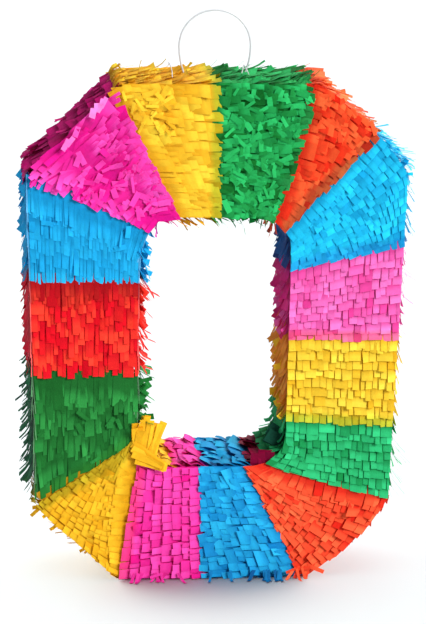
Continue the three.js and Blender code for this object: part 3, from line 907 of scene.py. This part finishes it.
def fringe_band(index):
    band = BANDS[index]
    rng = np.random.default_rng(BAND_SEED + index)
    shades, style = (linear(band.deep), linear(band.light)), STYLES[band.face]
    sheet = Sheet()
    skin(sheet, Span(index), shades)
    over_flap = band.name in ("yellow_top", "green_top")
    for span, flow, underlap in band_parts(index):
        after = neighbour(index, flow)
        under = None if band.name in CLEAR_SEAMS else linear(after.light)
        # painted shade on the rows under the tips of the band before
        stain = np.array(STAINED.get(band.name, (1, 1, 1)))
        raised = LIFT_OVER if flow > 0 and after.flow == -flow else 0.0
        for side in (-1, 1):
            keep_out = window_keep_out if over_flap and side == 1 else None
            face_rows(sheet, rng, span, side, flow, style, shades, under, underlap, raised, stain, keep_out)
        rim, hole = STYLES[RIM_STYLES.get(band.name, "rim")], STYLES[HOLE_STYLES.get(band.name, "hole")]
        # painted shade on walls out of the light, and painted light on some rim pieces, where listed above
        rim_shades = [linear(c) for c in RIM_SHADES.get(band.name, (band.deep, band.light))]
        hole_shades = [linear(c) for c in HOLE_SHADES.get(band.name, (band.deep, band.light))]
        if band.flow:
            wall_rows(sheet, rng, RIM, span.s0, span.s1, flow, rim, rim_shades, under, underlap)
        wall_rows(sheet, rng, HOLE, span.w0, span.w1, flow, hole, hole_shades, under, underlap)
    if not band.flow:
        wall_rows(sheet, rng, RIM, Span(index).s0, Span(index).s1, -1, rim, rim_shades, None, 0.0)
    tufts(sheet, rng, band, shades)
    flags(sheet, rng, band)
    for side in (-1,) if over_flap else (-1, 1):
        scraps(sheet, rng, Span(index), style, shades, side)
    feet = {"blue_bottom": ["foot_tissue_blue"], "pink_bottom": ["foot_tissue_pink"]}
    nodes = ["tissue_" + band.name, *feet.get(band.name, [])]
    add_fringe(band.name, sheet, band, "shell", nodes, over_flap)


def fringe_flap(node, index):
    """The fringe on the filling flap: upright rows whose fingers point the same way as those round it."""
    band = BANDS[index]
    lo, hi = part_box(node)
    rng = np.random.default_rng(FLAP_SEED + index)
    shades, style = (linear(band.deep), linear(band.light)), STYLES["flap"]
    sheet = Sheet()
    y = BOARD_Y + SKIN
    corners = np.array([[(lo.x, y, lo.z), (hi.x, y, lo.z)], [(lo.x, y, hi.z), (hi.x, y, hi.z)]])
    # the flap's plain backing, painted darker as the shade under its fringe
    sheet.add(corners, [(0, 1, 3, 2)], shades[0] * FLAP_SHADE)
    under = linear(neighbour(index, 1).light) if index == 0 else None
    ends = lo.z + FLAP_MARGIN, hi.z - FLAP_MARGIN
    for x in row_places(lo.x + RIBBON, hi.x, 1, style, 0.0):
        chart = lambda a, b, h: np.stack([x + b, BOARD_Y + h, a], axis=-1)
        room = lambda a: np.full(len(a), hi.x - x)
        zone = lambda a: np.full(len(a), OVERLAY_ZONE)
        lay_row(sheet, rng, chart, ends, style, room, zone, shades, under)
    add_fringe(node, sheet, band, "fill_flap", [node])


def line_tails():
    """The loose ends of the nylon line: two stick out at a foot of the loop, and one lies across the top."""
    verts, faces = [], []
    for points in (np.array(tail) * MM for tail in TAILS):
        steps = np.gradient(points, axis=0)
        side = np.cross(steps, (0.3, 0.2, 1.0))
        side /= np.linalg.norm(side, axis=1)[:, None]
        other = np.cross(steps / np.linalg.norm(steps, axis=1)[:, None], side)
        first = len(verts)
        for point, x, y in zip(points, side, other):
            for turn in np.arange(TAIL_SIDES) * 2 * math.pi / TAIL_SIDES:
                verts.append(tuple(point + TAIL_RADIUS * (math.cos(turn) * x + math.sin(turn) * y)))
        faces += ring_faces(first, len(points), TAIL_SIDES)
        faces.append(tuple(range(first, first + TAIL_SIDES))[::-1])
        faces.append(tuple(range(len(verts) - TAIL_SIDES, len(verts))))
    mesh = bpy.data.meshes.new("line_tails")
    mesh.from_pydata(verts, [], faces)
    mesh.shade_smooth()
    add_piece("line_tails", mesh, line_material, "shell")


for i in range(len(BANDS)):
    fringe_band(i)
fringe_flap("flap_tissue_yellow", 0)
fringe_flap("flap_tissue_green", 1)

board_material, line_material = cardboard_material(), nylon_material()
line_tails()
for name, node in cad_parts.items():
    if name.startswith(("tissue_", "foot_tissue_", "flap_tissue_")):
        continue
    chosen = line_material if name in ("hanging_loop", "loop_tie") else board_material
    node.data.materials.clear()
    node.data.materials.append(chosen)


# ---------------- stage, light, camera
FLOOR_HALF = 8.0
CAMERA_PLACE, CAMERA_LENS = (-0.205, -1.915, 0.736), 145.7
CAMERA_ANGLES = (6.19, 15.25, 1.17)  # to the right, down, and rolled, in degrees


def add_floor():
    mesh = bpy.data.meshes.new("floor")
    bm = bmesh.new()
    bmesh.ops.create_grid(bm, x_segments=4, y_segments=4, size=FLOOR_HALF)
    bm.to_mesh(mesh)
    bm.free()
    tree = Tree("floor_pale")
    pale = {"Base Color": (0.59, 0.625, 0.635, 1), "Roughness": 0.9, "Specular IOR Level": 0.1}
    tree.set(tree.shader, pale)
    mesh.materials.append(tree.material)
    floor = add_object("floor", mesh)


def collect(name, objects):
    collection = bpy.data.collections.new(name)
    for each in objects:
        collection.objects.link(bpy.data.objects[each])
    return collection


def add_sun(name, towards, strength, angle, colour=(1, 1, 1), on_floor=False, blocked_by=()):
    """A soft light from far away, for the floor alone or for all but the floor. blocked_by names the pieces
    that cast its shadow, where not all do."""
    light = bpy.data.lights.new(name, "SUN")
    light.energy, light.angle, light.color = strength, math.radians(angle), colour
    sun = add_object(name, light)
    sun.rotation_mode = "QUATERNION"
    sun.rotation_quaternion = Vector(towards).to_track_quat("Z", "Y")
    lit = collect(name + "_lights", ["floor"])
    lit.collection_objects[0].light_linking.link_state = "INCLUDE" if on_floor else "EXCLUDE"
    sun.light_linking.receiver_collection = lit
    if blocked_by:
        sun.light_linking.blocker_collection = collect(name + "_blockers", blocked_by)


def add_camera():
    yaw, pitch, roll = (math.radians(d) for d in CAMERA_ANGLES)
    data = bpy.data.cameras.new("camera")
    data.lens, data.sensor_width = CAMERA_LENS, 36.0
    camera = add_object("camera", data)
    camera.matrix_world = Matrix.Translation(CAMERA_PLACE)
    for angle, axis in ((-yaw, "Z"), (math.pi / 2 - pitch, "X"), (roll, "Z")):
        camera.matrix_world = camera.matrix_world @ Matrix.Rotation(angle, 4, axis)
    bpy.context.scene.camera = camera


def add_world(strength):
    world = bpy.data.worlds.new("studio")
    world.use_nodes = True
    background = world.node_tree.nodes["Background"]
    background.inputs["Color"].default_value = (1, 1, 1, 1)
    background.inputs["Strength"].default_value = strength
    bpy.context.scene.world = world


add_floor()
add_world(0.2)
add_sun("key", (0.5, -0.7, 0.52), 4.05, 24)
add_sun("back", (0.5, 0.68, 0.54), 3.2, 50)
add_sun("cool", (-0.9, -0.15, 0.2), 0.3, 60, (0.75, 0.35, 1.0))
FOOT = ["fringe_blue_bottom", "fringe_pink_bottom"]
BESIDE_FOOT = ["fringe_yellow_bottom_left", "fringe_orange_bottom_right"]
add_sun("overhead", (-0.1, 0.5, 0.87), 3.9, 58, on_floor=True, blocked_by=FOOT)
add_sun("overhead_wide", (-0.15, 0.3, 0.95), 1.7, 100, on_floor=True, blocked_by=FOOT + BESIDE_FOOT)
add_camera()
bpy.context.scene.view_settings.view_transform = "Standard"
